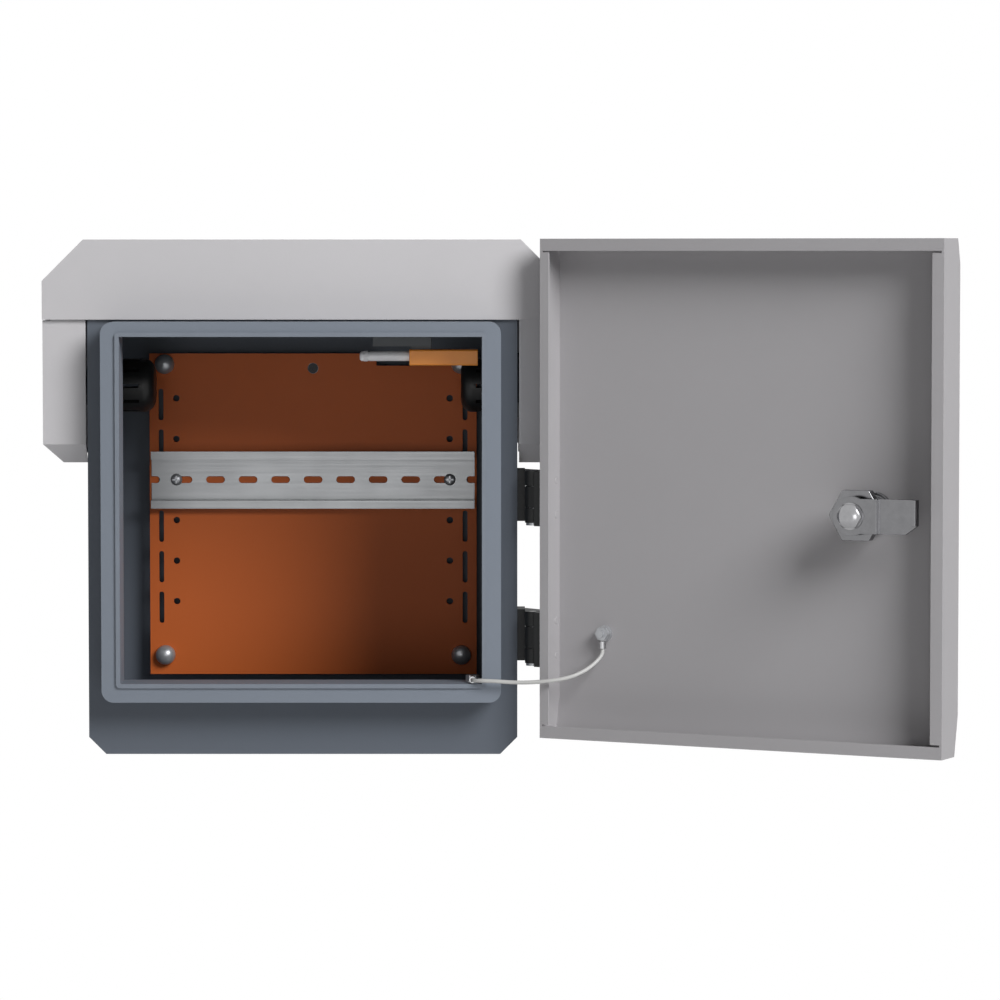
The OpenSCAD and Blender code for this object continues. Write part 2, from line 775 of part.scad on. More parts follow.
module door_earth_stud() {
    nut_y = pan_in + 1.5 + lug_t;
    color("silver") at_door() {
        rod_y(stud_x, door_stud_z, pan_in, nut_y + 5, 2);
        difference() {
            rod_y(stud_x, door_stud_z, pan_in, pan_in + 1.5, 4.6);
            rod_y(stud_x, door_stud_z, pan_in - cut, pan_in + 1.5 + cut, 1.9);
        }
        translate([stud_x, nut_y + 3.2, door_stud_z]) rotate([90, 0, 0]) cylinder(h = 3.2, r = 4.04, $fn = 6);
    }
}

module door_earth_lug() {
    color("gainsboro") at_door() translate([stud_x, pan_in + 1.5, door_stud_z])
        rotate([90, 0, 180]) ring_lug(door_stud_z - door_lug_end);
}

function unit(v) = v / norm(v);

// Ring of points round the cable at its i-th route point.
function cable_ring(i) = let (
        n = len(cable_route),
        a = cable_route[max(i - 1, 0)],
        b = cable_route[min(i + 1, n - 1)],
        along = unit(b - a),
        side = unit(cross(along, [0, 1, 0.4])),
        up = cross(side, along))
    [for (k = [0:cable_sides - 1])
        cable_route[i] + cable_d / 2 * (cos(k * 360 / cable_sides) * side + sin(k * 360 / cable_sides) * up)];

module earth_cable() {
    n = len(cable_route);
    m = cable_sides;
    pts = [for (i = [0:n - 1]) each cable_ring(i)];
    walls = [for (i = [0:n - 2], k = [0:m - 1]) each [
        [i * m + k, (i + 1) * m + k, (i + 1) * m + (k + 1) % m],
        [i * m + k, (i + 1) * m + (k + 1) % m, i * m + (k + 1) % m]]];
    start = [for (k = [0:m - 1]) k];
    end = [for (k = [m - 1:-1:0]) (n - 1) * m + k];
    color("whitesmoke") polyhedron(pts, concat([start, end], walls));
}

// ---- Hinges ----

hinge_zs = [z0 + hinge_top_up, z0 + hinge_low_up];
leaf_screw_dz = [-10, 10];
body_leaf_screw_y = front_y + 16;
door_leaf_screw_y = pan_in + 4;

module body_leaf(zc) {
    top = zc + hinge_h / 2;
    low = top - body_leaf_h;
    mid = (top + low) / 2;
    gap_h = door_knuckle_h / 2 + knuckle_gap;
    plate_x1 = half_w + leaf_t;
    difference() {
        union() {
            block([half_w, front_y + 1, low], [plate_x1, body_leaf_y1, top]);
            for (s = [[low, mid - gap_h], [mid + gap_h, top]]) translate([0, 0, s[0]])
                linear_extrude(s[1] - s[0]) {
                    translate([hinge_x, hinge_y]) circle(knuckle_r);
                    polygon([[hinge_x - knuckle_r, hinge_y], [hinge_x + knuckle_r, hinge_y],
                        [hinge_x + knuckle_r, front_y], [plate_x1 + 1, front_y + 10],
                        [plate_x1 - 1, front_y + 10], [plate_x1 - 1, front_y + 1],
                        [hinge_x - knuckle_r, front_y + 1]]);
                }
        }
        translate([hinge_x, hinge_y, low - cut]) cylinder(h = body_leaf_h + 2 * cut, r = pin_d / 2 + pin_seat);
        for (dz = leaf_screw_dz) sunk_screw(body_leaf_screw_y, zc + dz, plate_x1, half_w - cut,
            leaf_screw_r + screw_gap, leaf_head_r + screw_gap, -1);
    }
}

module door_leaf(zc) {
    mid = zc + (hinge_h - body_leaf_h) / 2;
    x1 = door_x1 + leaf_t;
    difference() {
        union() {
            block([door_x1, door_leaf_y0, zc - hinge_h / 2], [x1, door_leaf_y1, zc + hinge_h / 2]);
            translate([0, 0, mid - door_knuckle_h / 2]) linear_extrude(door_knuckle_h) {
                translate([hinge_x, hinge_y]) circle(knuckle_r);
                polygon([[x1 - 1, hinge_y - knuckle_r], [hinge_x, hinge_y - knuckle_r],
                    [hinge_x, hinge_y + knuckle_r], [x1 - 1, hinge_y + knuckle_r]]);
            }
        }
        translate([hinge_x, hinge_y, mid - door_knuckle_h]) cylinder(h = 2 * door_knuckle_h,
            r = pin_d / 2 + pin_play);
        for (dz = leaf_screw_dz) sunk_screw(door_leaf_screw_y, zc + dz, x1, door_x1 - cut,
            leaf_screw_r + screw_gap, leaf_head_r + screw_gap, -1);
    }
}

module hinge_pin(zc) {
    low = zc + hinge_h / 2 - body_leaf_h;
    translate([hinge_x, hinge_y, low - 1.5]) {
        cylinder(h = body_leaf_h + 1.5, r = pin_d / 2);
        cylinder(h = 1.5, r = knuckle_r - 0.6);
    }
}

module upper_hinge_body_leaf() {
    color("#1d1f21") body_leaf(hinge_zs[0]);
}

module lower_hinge_body_leaf() {
    color("#1d1f21") body_leaf(hinge_zs[1]);
}

module upper_hinge_door_leaf() {
    color("#1d1f21") at_door() door_leaf(hinge_zs[0]);
}

module lower_hinge_door_leaf() {
    color("#1d1f21") at_door() door_leaf(hinge_zs[1]);
}

module upper_hinge_pin() {
    color("silver") hinge_pin(hinge_zs[0]);
}

module lower_hinge_pin() {
    color("silver") hinge_pin(hinge_zs[1]);
}

module hinge_body_screws() {
    color("#2b2d2f") for (zc = hinge_zs, dz = leaf_screw_dz)
        sunk_screw(body_leaf_screw_y, zc + dz, half_w + leaf_t, inner_w - 3, leaf_screw_r, leaf_head_r, -1);
}

module hinge_door_screws() {
    color("#2b2d2f") at_door() for (zc = hinge_zs, dz = leaf_screw_dz)
        sunk_screw(door_leaf_screw_y, zc + dz, door_x1 + leaf_t, door_x1 - door_t + 0.2, leaf_screw_r,
            leaf_head_r, -1);
}

// ---- Door ----

// Depth at which the pan's skin, t inside its outer face, lies at height z.
function skin_y(z, t) = pan_y0 + t + max(0, foot_in * (door_z0 + foot_h - z) / foot_h,
    head_in * (z - door_z1 + head_h) / head_h);

// Side view of the pan, t inside its outer faces.
module pan_outline(t) {
    za = door_z0 + t;
    zb = door_z1 - t;
    polygon([[lip_y - t, za], [skin_y(za, t), za], [skin_y(door_z0 + foot_h, t), door_z0 + foot_h],
        [skin_y(door_z1 - head_h, t), door_z1 - head_h], [skin_y(zb, t), zb], [lip_y - t, zb]]);
}

module door_panel() {
    t = door_t;
    notch = [[door_x0, lip_w, 1.2], [door_x1, -hinge_lip_w, 0.8]];
    color("lightgray") at_door() difference() {
        along_x(door_x0, door_x1) pan_outline(0);
        along_x(door_x0 + t, door_x1 - t) pan_outline(t);
        block([door_x0 + lip_w, lip_y - 2 * t, door_z0 + lip_w],
            [door_x1 - hinge_lip_w, lip_y + cut, door_z1 - lip_w]);
        for (n = notch, z = [door_z0 + lip_w, door_z1 - lip_w - n[2]])
            block([min(n[0], n[0] + n[1]) + (n[1] > 0 ? t : -cut), lip_y - 2 * t, z],
                [max(n[0], n[0] + n[1]) + (n[1] > 0 ? cut : -t), lip_y + cut, z + n[2]]);
        rod_y(lock_x, lock_z, pan_y0 - cut, pan_in + cut, barrel_r + 0.3);
        for (zc = hinge_zs, dz = leaf_screw_dz)
            rod_x(door_leaf_screw_y, zc + dz, door_x1 - t - cut, door_x1 + cut, leaf_screw_r + screw_gap);
    }
}

// ---- Lock ----

module lock_housing() {
    color("silver") at_door() difference() {
        union() {
            rod_y(lock_x, lock_z, pan_y0 - escutcheon_t + 0.5, housing_end, barrel_r);
            rod_y(lock_x, lock_z, pan_in, pan_in + 3, barrel_r + 2);
            translate([lock_x, housing_end, lock_z]) rotate([90, 0, 0])
                cylinder(h = collar_l, r = collar_af / sqrt(3), $fn = 6);
        }
        rod_y(lock_x, lock_z, pan_y0 - 2 * escutcheon_t, housing_end + cut, core_r + core_play);
    }
}

module lock_escutcheon() {
    color("silver") at_door() difference() {
        translate([lock_x, pan_y0, lock_z]) rotate([90, 0, 0])
            cylinder(h = escutcheon_t, r1 = escutcheon_r, r2 = escutcheon_r - 1.4);
        rod_y(lock_x, lock_z, pan_y0 - 2 * escutcheon_t, pan_y0 + cut, barrel_r + screw_gap);
    }
}

module lock_core() {
    y0 = pan_y0 - escutcheon_t + 1;
    color("silver") at_door() difference() {
        union() {
            rod_y(lock_x, lock_z, y0, root_y, core_r);
            block([lock_x - drive_w / 2, root_y - cut, lock_z - drive_w / 2],
                [lock_x + drive_w / 2, root_y + cam_t - 0.2, lock_z + drive_w / 2]);
        }
        difference() {
            rod_y(lock_x, lock_z, y0 - cut, y0 + 9, core_r - 1.2);
            rod_y(lock_x, lock_z, y0 - cut, y0 + 10, 1.6);
            block([lock_x - 3.6, y0 - cut, lock_z - 0.9], [lock_x + 3.6, y0 + 10, lock_z + 0.9]);
        }
        rod_y(lock_x, lock_z, root_y - 10, root_y + cam_t + cut, stud_r + screw_gap - 0.5);
    }
}

module lock_cam() {
    tip = lock_x - cam_l;
    step = lock_x - cam_root_l;
    low = lock_z - cam_w / 2;
    high = lock_z + cam_w / 2;
    hole = drive_w / 2 + drive_gap;
    color("silver") at_door() difference() {
        union() {
            rod_y(lock_x, lock_z, root_y, root_y + cam_t, cam_root_r);
            block([step, root_y, low], [lock_x, root_y + cam_t, high]);
            block([step - cam_t, arm_y, low], [step, root_y + cam_t, high]);
            along_y(arm_y, arm_y + cam_t) polygon([[step, high], [tip, high], [tip, low + 5],
                [tip + 7, low], [step, low]]);
            block([tip, arm_y, low + 5], [tip + cam_t, arm_y + cam_t + 3, high]);
        }
        block([lock_x - hole, root_y - cut, lock_z - hole], [lock_x + hole, root_y + cam_t + cut, lock_z + hole]);
    }
}

module cam_screw() {
    head_y = root_y + cam_t;
    color("silver") at_door() {
        rod_y(lock_x, lock_z, root_y - 8, head_y, stud_r - 0.5);
        rod_y(lock_x, lock_z, head_y, head_y + 1, cam_head_r + 0.1);
        translate([lock_x, head_y + 1, lock_z]) rotate([-90, 0, 0]) cylinder(h = 4, r = cam_head_r, $fn = 6);
    }
}

body_shell();
rim_frame();
rain_hood();
hood_screws();
left_shroud();
right_shroud();
shroud_screws();
mounting_plate();
plate_spacers();
plate_bolts();
plate_centre_screw();
din_rail();
rail_screws();
left_vent();
right_vent();
vent_nuts();
probe_body();
probe_stem();
probe_bracket();
probe_bracket_screws();
gland_plate();
gland_plate_seal();
gland_plate_screws();
body_earth_screw();
body_earth_lug();
earth_cable();
upper_hinge_body_leaf();
lower_hinge_body_leaf();
upper_hinge_pin();
lower_hinge_pin();
hinge_body_screws();
door_panel();
rim_seal();
upper_hinge_door_leaf();
lower_hinge_door_leaf();
hinge_door_screws();
door_earth_stud();
door_earth_lug();
lock_housing();
lock_escutcheon();
lock_core();
lock_cam();
cam_screw();
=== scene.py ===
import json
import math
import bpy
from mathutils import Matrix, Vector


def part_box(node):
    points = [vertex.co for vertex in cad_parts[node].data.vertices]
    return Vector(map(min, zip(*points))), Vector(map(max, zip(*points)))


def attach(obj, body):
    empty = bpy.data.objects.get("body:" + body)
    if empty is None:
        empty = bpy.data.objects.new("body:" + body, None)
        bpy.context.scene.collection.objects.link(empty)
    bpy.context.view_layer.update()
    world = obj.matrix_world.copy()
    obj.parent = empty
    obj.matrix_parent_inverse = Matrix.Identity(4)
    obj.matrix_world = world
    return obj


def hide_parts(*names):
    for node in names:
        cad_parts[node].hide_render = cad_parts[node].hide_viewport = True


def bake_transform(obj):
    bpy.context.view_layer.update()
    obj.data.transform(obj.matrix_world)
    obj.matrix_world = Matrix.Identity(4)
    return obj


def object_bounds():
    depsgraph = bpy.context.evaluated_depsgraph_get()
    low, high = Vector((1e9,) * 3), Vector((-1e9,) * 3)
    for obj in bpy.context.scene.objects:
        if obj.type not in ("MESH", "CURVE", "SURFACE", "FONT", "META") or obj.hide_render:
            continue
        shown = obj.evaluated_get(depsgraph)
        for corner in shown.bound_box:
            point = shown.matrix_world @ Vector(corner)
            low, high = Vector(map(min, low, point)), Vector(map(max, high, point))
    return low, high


bl_info = {
    "name": "Steel wall cabinet",
    "version": (1, 0, 0),
    "blender": (4, 5, 0),
    "location": "3D View > Sidebar > Cabinet",
    "description": "Dresses a hinged sheet-steel wall cabinet in its paint, zinc and moulded plastic",
    "category": "Object",
}

import bmesh
import bpy
from bpy.props import FloatProperty, FloatVectorProperty, IntProperty, PointerProperty
from mathutils import Vector

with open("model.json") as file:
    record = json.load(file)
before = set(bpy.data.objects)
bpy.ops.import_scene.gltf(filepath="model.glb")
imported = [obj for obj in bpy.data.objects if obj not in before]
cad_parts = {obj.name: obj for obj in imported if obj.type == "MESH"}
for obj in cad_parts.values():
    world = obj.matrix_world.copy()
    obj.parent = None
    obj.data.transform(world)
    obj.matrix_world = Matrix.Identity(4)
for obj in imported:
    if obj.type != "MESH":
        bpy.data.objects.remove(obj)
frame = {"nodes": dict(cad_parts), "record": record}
cad_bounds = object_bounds()
nodes = frame["nodes"]
body_of_node = {
    node: body for body, members in frame["record"]["behaviour"]["bodies"].items() for node in members
}
MM = 0.001
WHITE = (1.0, 1.0, 1.0, 1.0)


# ---- Node graphs ----


class Value:
    """A node's output socket; Python's operators on it add Math nodes."""

    def __init__(self, graph, socket):
        self.graph = graph
        self.socket = socket

    def math(self, operation, other=None, swapped=False):
        first, second = (other, self) if swapped else (self, other)
        sockets = {0: first} if other is None else {0: first, 1: second}
        return self.graph.node("ShaderNodeMath", {"operation": operation}, sockets)

    def __add__(self, other):
        return self.math("ADD", other)

    def __radd__(self, other):
        return self.math("ADD", other, True)

    def __sub__(self, other):
        return self.math("SUBTRACT", other)

    def __rsub__(self, other):
        return self.math("SUBTRACT", other, True)

    def __mul__(self, other):
        return self.math("MULTIPLY", other)

    def __rmul__(self, other):
        return self.math("MULTIPLY", other, True)

    def __truediv__(self, other):
        return self.math("DIVIDE", other)


class Graph:
    """A node tree, and the one method that adds nodes to it."""

    def __init__(self, tree):
        self.tree = tree

    def node(self, kind, settings=None, sockets=None, out=0):
        made = self.tree.nodes.new(kind)
        for key, value in (settings or {}).items():
            if key == "stops":
                ramp = made.color_ramp
                for index, (place, shade) in enumerate(value):
                    stop = ramp.elements[index] if index < 2 else ramp.elements.new(place)
                    stop.position = place
                    stop.color = shade
            else:
                setattr(made, key, value)
        for key, value in (sockets or {}).items():
            for source in value if isinstance(value, list) else [value]:
                if isinstance(source, Value):
                    self.tree.links.new(source.socket, made.inputs[key])
                else:
                    made.inputs[key].default_value = source
        return Value(self, made.outputs[out]) if made.outputs else made

    def seen_directly(self):
        """1 where the camera, a mirror or glass looks at a surface, 0 where it only lights others."""
        camera = self.node("ShaderNodeLightPath", out="Is Camera Ray")
        rays = camera.socket.node.outputs
        mirrored = Value(self, rays["Is Glossy Ray"])
        through = Value(self, rays["Is Transmission Ray"])
        return (camera + mirrored + through).math("MINIMUM", 1.0)


class Finish(Graph):
    """A material made of one Principled surface, textured in the piece's own coordinates."""

    def __init__(self, name):
        self.material = bpy.data.materials.new(name)
        self.material.use_nodes = True
        self.material.node_tree.nodes.clear()
        super().__init__(self.material.node_tree)
        self.place = self.node("ShaderNodeTexCoord", out="Object")

    def stretched(self, scale):
        return self.node("ShaderNodeMapping", {}, {"Vector": self.place, "Scale": scale})

    def noise(self, scale, detail=2.0, roughness=0.5, place=None):
        sockets = {"Vector": place or self.place, "Scale": scale, "Detail": detail, "Roughness": roughness}
        return self.node("ShaderNodeTexNoise", {}, sockets)

    def between(self, factor, dark, light):
        sockets = {0: factor, 6: (*dark, 1.0), 7: (*light, 1.0)}
        return self.node("ShaderNodeMix", {"data_type": "RGBA"}, sockets, out=2)

    def relief(self, height, depth, strength=1.0):
        sockets = {"Height": height, "Distance": depth, "Strength": strength}
        return self.node("ShaderNodeBump", {}, sockets)

    def surface(self, colour, roughness, normal=None, fixed=None):
        sockets = {"Base Color": colour, "Roughness": roughness, **(fixed or {})}
        if normal is not None:
            sockets["Normal"] = normal
        shader = self.node("ShaderNodeBsdfPrincipled", {}, sockets)
        self.node("ShaderNodeOutputMaterial", {}, {"Surface": shader})
        return self.material


def shade(colour, factor):
    return tuple(min(1.0, channel * factor) for channel in colour)


# ---- Finishes ----


def powder_coat(name, colour, settings):
    """Baked powder paint: a fine orange-peel skin with a barely uneven sheen."""
    finish = Finish(name)
    peel = finish.noise(1 / settings.peel_size, 3.0, 0.55)
    grain = finish.noise(4.5 / settings.peel_size, 1.0)
    cloud = finish.noise(11.0, 4.0, 0.6)
    tone = cloud * 0.7 + grain * 0.3
    colours = finish.between(tone, shade(colour, 0.955), shade(colour, 1.045))
    roughness = settings.paint_roughness + (peel - 0.5) * 0.10 + (cloud - 0.5) * 0.06
    bump = finish.relief(peel + grain * 0.35, settings.peel_depth, 0.55)
    return finish.surface(colours, roughness, bump, {"Specular IOR Level": 0.3})


def rolled_zinc(name, colour, roughness, along):
    """Zinc plate with a faint rolling grain along one axis."""
    finish = Finish(name)
    scale = [900.0, 900.0, 900.0]
    scale["XYZ".index(along)] = 14.0
    streaks = finish.noise(1.0, 3.0, 0.6, finish.stretched(tuple(scale)))
    cloud = finish.noise(38.0, 3.0)
    colours = finish.between(streaks * 0.5 + cloud * 0.5, shade(colour, 0.86), shade(colour, 1.08))
    bump = finish.relief(streaks, 0.00003, 0.5)
    level = roughness + (streaks - 0.5) * 0.16 + (cloud - 0.5) * 0.12
    return finish.surface(colours, level, bump, {"Metallic": 1.0})


def bright_zinc(name, colour, roughness, metallic=1.0):
    """Barrel-plated zinc on small turned and stamped parts."""
    finish = Finish(name)
    cloud = finish.noise(260.0, 4.0, 0.6)
    nicks = finish.noise(1500.0, 2.0)
    colours = finish.between(cloud, shade(colour, 0.8), shade(colour, 1.1))
    bump = finish.relief(cloud * 0.6 + nicks * 0.4, 0.00004, 0.35)
    return finish.surface(colours, roughness + (cloud - 0.5) * 0.16, bump, {"Metallic": metallic})


def moulded(name, colour, roughness, grain=1400.0, depth=0.00005):
    """Moulded plastic with a fine spark-eroded grain."""
    finish = Finish(name)
    texture = finish.noise(grain, 2.0, 0.6)
    cloud = finish.noise(60.0, 2.0)
    colours = finish.between(cloud, shade(colour, 0.9), shade(colour, 1.12))
    bump = finish.relief(texture, depth, 0.6)
    return finish.surface(colours, roughness + (texture - 0.5) * 0.12, bump, {"Specular IOR Level": 0.3})


def foam_rubber(name, colour):
    """Closed-cell rubber with small open pores."""
    finish = Finish(name)
    pores = finish.noise(2600.0, 2.0, 0.7)
    cloud = finish.noise(90.0, 2.0)
    colours = finish.between(cloud * 0.5 + pores * 0.5, shade(colour, 0.84), shade(colour, 1.1))
    return finish.surface(colours, 0.72 + (pores - 0.5) * 0.16, finish.relief(pores, 0.00012, 0.6))


finishes = {}


def make_finishes(paint):
    """Every finish of the cabinet, by its slot name in the frame's record."""
    # body paint: darkened, a painted shade. rim paint: the same paint made paler, a painted highlight on the
    # rim band.
    finishes["body_paint"] = powder_coat("body_paint", paint.body_shaded_colour, paint)
    finishes["rim_paint"] = powder_coat("rim_paint", paint.rim_lit_colour, paint)
    finishes["hood_paint"] = powder_coat("hood_paint", paint.hood_colour, paint)
    # The door's colour is the hood's grey darkened, a painted shade.
    finishes["door_paint"] = powder_coat("door_paint", paint.door_shaded_colour, paint)
    finishes["orange_plate"] = powder_coat("orange_plate", paint.plate_colour, paint)
    finishes["bracket_grey"] = powder_coat("bracket_grey", (0.085, 0.09, 0.095), paint)
    finishes["rail_steel"] = rolled_zinc("rail_steel", (0.205, 0.21, 0.215), 0.38, "X")
    finishes["zinc"] = bright_zinc("zinc", (0.42, 0.43, 0.45), 0.36, 0.55)
    finishes["dark_steel"] = bright_zinc("dark_steel", (0.02, 0.02, 0.022), 0.5, 0.6)
    finishes["lock_chrome"] = bright_zinc("lock_chrome", (0.22, 0.22, 0.228), 0.17)
    finishes["lock_bolt"] = bright_zinc("lock_bolt", (0.36, 0.36, 0.37), 0.2)
    finishes["tinned_lug"] = bright_zinc("tinned_lug", (0.42, 0.42, 0.43), 0.34)
    finishes["hinge_plastic"] = moulded("hinge_plastic", (0.006, 0.0065, 0.007), 0.5)
    finishes["vent_plastic"] = moulded("vent_plastic", (0.012, 0.0125, 0.013), 0.42)
    finishes["probe_orange"] = moulded("probe_orange", (1.0, 0.33, 0.055), 0.35)
    finishes["probe_white"] = moulded("probe_white", (0.88, 0.88, 0.9), 0.25)
    finishes["cable_sleeve"] = moulded("cable_sleeve", (0.52, 0.52, 0.51), 0.34, 900.0)
    # The seal is coloured with the rim's paler tone, a painted highlight.
    finishes["seal_rubber"] = foam_rubber("seal_rubber", paint.seal_lit_colour)
    finishes["gland_rubber"] = foam_rubber("gland_rubber", (0.03, 0.03, 0.032))


slot_of_node = {part["node"]: part["material_slot"] for part in frame["record"]["subparts"]}


# ---- Mesh helpers ----


def as_object(name, mesh, body=None):
    made = bpy.data.objects.new(name, mesh)
    bpy.context.scene.collection.objects.link(made)
    if body:
        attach(made, body)
    return made


def paint_node(node):
    """Gives a node that keeps its own shape the finish of its slot."""
    mesh = nodes[node].data
    mesh.materials.clear()
    mesh.materials.append(finishes[slot_of_node[node]])


def cleaned(node, weld):
    """A copy of a node's mesh with its triangles welded and its flat faces joined."""
    work = bmesh.new()
    work.from_mesh(nodes[node].data)
    bmesh.ops.remove_doubles(work, verts=work.verts, dist=weld)
    bmesh.ops.dissolve_degenerate(work, dist=weld / 4, edges=work.edges)
    bmesh.ops.dissolve_limit(work, angle_limit=math.radians(0.5), verts=work.verts, edges=work.edges)
    mesh = bpy.data.meshes.new(node)
    for face in work.faces:
        face.smooth = True
    work.to_mesh(mesh)
    work.free()
    return mesh


def dress(node, bevel, segments=3, angle=32.0, weld=0.00003, finish=None):
    """Replaces a node by the same shape with its edges broken, as folding, paint and plating leave them."""
    mesh = cleaned(node, weld)
    piece = as_object(node + "_finish", mesh)
    edge = piece.modifiers.new("Broken edges", "BEVEL")
    edge.width = bevel
    edge.segments = segments
    edge.limit_method = "ANGLE"
    edge.angle_limit = math.radians(angle)
    edge.miter_outer = "MITER_ARC"
    weights = piece.modifiers.new("Flat faces stay flat", "WEIGHTED_NORMAL")
    weights.weight = 90
    mesh.materials.append(finishes[finish or slot_of_node[node]])
    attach(piece, body_of_node[node])
    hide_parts(node)
    return piece


def sweep(name, path, radius, sides, ring_step, twist=0.0, strands=0, strand_depth=0.0):
    """A closed tube along a smooth curve through the path's points, with twisted strands in its skin."""
    points = [Vector(p) for p in path]
    padded = [2 * points[0] - points[1]] + points + [2 * points[-1] - points[-2]]
    line = []
    for a, b, c, d in zip(padded, padded[1:], padded[2:], padded[3:]):
        steps = max(2, round((c - b).length / ring_step))
        for k in range(steps):
            t = k / steps
            line.append(0.5 * (2 * b + (c - a) * t + (2 * a - 5 * b + 4 * c - d) * t * t
                               + (3 * b - a - 3 * c + d) * t ** 3))
    line.append(points[-1])
    work = bmesh.new()
    rings = []
    run = 0.0
    for i, place in enumerate(line):
        along = (line[min(i + 1, len(line) - 1)] - line[max(i - 1, 0)]).normalized()
        side = along.cross(Vector((0.0, 1.0, 0.4))).normalized()
        up = side.cross(along)
        run += (place - line[i - 1]).length if i else 0.0
        ring = []
        for k in range(sides):
            turn = 2 * math.pi * k / sides
            skin = radius - strand_depth * (0.5 + 0.5 * math.cos(strands * (turn + twist * run)))
            ring.append(work.verts.new(place + skin * (math.cos(turn) * side + math.sin(turn) * up)))
        rings.append(ring)
    for near, far in zip(rings, rings[1:]):
        for k in range(sides):
            work.faces.new((near[k], near[(k + 1) % sides], far[(k + 1) % sides], far[k]))
    work.faces.new(reversed(rings[0]))
    work.faces.new(rings[-1])
    bmesh.ops.recalc_face_normals(work, faces=work.faces)
    for face in work.faces:
        face.smooth = len(face.verts) == 4
    mesh = bpy.data.meshes.new(name)
    work.to_mesh(mesh)
    work.free()
    return mesh, line


# ---- Geometry Nodes ----


class Shape(Graph):
    """A Geometry Nodes tree with named inputs, which ends in one realized, painted mesh."""

    def __init__(self, name, inputs):
        tree = bpy.data.node_groups.new(name, "GeometryNodeTree")
        super().__init__(tree)
        tree.interface.new_socket("Geometry", in_out="OUTPUT", socket_type="NodeSocketGeometry")
        tree.interface.new_socket("Points", in_out="INPUT", socket_type="NodeSocketGeometry")
        for label, kind in [*inputs, ("Facing", "NodeSocketVector")]:
            tree.interface.new_socket(label, in_out="INPUT", socket_type=kind)
        self.start = tree.nodes.new("NodeGroupInput")

    def given(self, label):
        return Value(self, self.start.outputs[label])

    def finish(self, geometry, material):
        """Turns the shape to its facing, sets it on every point, and realizes and paints it."""
        turned = self.node("GeometryNodeTransform", {}, {
            "Geometry": geometry, "Rotation": self.given("Facing")})
        placed = self.node("GeometryNodeInstanceOnPoints", {}, {
            "Points": self.given("Points"), "Instance": turned})
        real = self.node("GeometryNodeRealizeInstances", {}, {"Geometry": placed})
        painted = self.node("GeometryNodeSetMaterial", {}, {"Geometry": real, "Material": material})
        self.node("NodeGroupOutput", {}, {"Geometry": painted})
        return self.tree


def vector(shape, x=0.0, y=0.0, z=0.0):
    return shape.node("ShaderNodeCombineXYZ", {}, {"X": x, "Y": y, "Z": z})


def cross_head_tree(name, material):
    """Pan heads with a cross recess, one on each point, each facing along the turned Z axis."""
    shape = Shape(name, [("Head Radius", "NodeSocketFloat"), ("Head Height", "NodeSocketFloat"),
                         ("Recess Width", "NodeSocketFloat")])
    radius = shape.given("Head Radius")
    height = shape.given("Head Height")
    width = shape.given("Recess Width")
    ball = shape.node("GeometryNodeMeshUVSphere", {}, {"Segments": 40, "Rings": 24, "Radius": radius})
    dome = shape.node("GeometryNodeTransform", {}, {
        "Geometry": ball, "Scale": vector(shape, 1.0, 1.0, height / radius)})
    wide = radius * 4
    below = shape.node("GeometryNodeMeshCube", {}, {"Size": vector(shape, wide, wide, height * 2)})
    base = shape.node("GeometryNodeTransform", {}, {
        "Geometry": below, "Translation": vector(shape, 0.0, 0.0, height * -1)})
    cutters = [base]
    slot_length = radius * 1.25
    slot_middle = height * 0.95
    for across, along in ((slot_length, width), (width, slot_length)):
        bar = shape.node("GeometryNodeMeshCube", {}, {"Size": vector(shape, across, along, height)})
        cutters.append(shape.node("GeometryNodeTransform", {}, {
            "Geometry": bar, "Translation": vector(shape, 0.0, 0.0, slot_middle)}))
    head = dome
    for cutter in cutters:
        head = shape.node("GeometryNodeMeshBoolean", {"operation": "DIFFERENCE"}, {0: head, 1: cutter})
    return shape.finish(head, material)


def domed_bolt_tree(name, material):
    """Hexagon heads with domed tops on round washers, one on each point, facing along the turned Z axis."""
    shape = Shape(name, [("Corner Radius", "NodeSocketFloat"), ("Head Height", "NodeSocketFloat"),
                         ("Washer Height", "NodeSocketFloat")])
    radius = shape.given("Corner Radius")
    height = shape.given("Head Height")
    washer = shape.given("Washer Height")
    prism = shape.node("GeometryNodeMeshCylinder", {}, {"Vertices": 6, "Radius": radius, "Depth": height * 2})
    dome_radius = radius * 1.02
    ball = shape.node("GeometryNodeMeshUVSphere", {}, {"Segments": 64, "Rings": 40, "Radius": dome_radius})
    dome = shape.node("GeometryNodeTransform", {}, {
        "Geometry": ball, "Scale": vector(shape, 1.0, 1.0, height / dome_radius)})
    head = shape.node("GeometryNodeMeshBoolean", {"operation": "INTERSECT"}, {1: [prism, dome]})
    raised = shape.node("GeometryNodeTransform", {}, {
        "Geometry": head, "Translation": vector(shape, 0.0, 0.0, washer)})
    disc = shape.node("GeometryNodeMeshCylinder", {}, {"Vertices": 64, "Radius": radius, "Depth": washer})
    seat = shape.node("GeometryNodeTransform", {}, {
        "Geometry": disc, "Translation": vector(shape, 0.0, 0.0, washer / 2)})
    both = shape.node("GeometryNodeJoinGeometry", {}, {0: [raised, seat]})
    return shape.finish(both, material)


def dab_tree(name, material):
    """Thin round dabs, one on each point, facing along the turned Z axis."""
    shape = Shape(name, [("Dab Radius", "NodeSocketFloat"), ("Dab Height", "NodeSocketFloat")])
    radius = shape.given("Dab Radius")
    dab = shape.node("GeometryNodeMeshCone", {}, {
        "Vertices": 40, "Radius Top": radius * 0.8, "Radius Bottom": radius,
        "Depth": shape.given("Dab Height")})
    return shape.finish(dab, material)


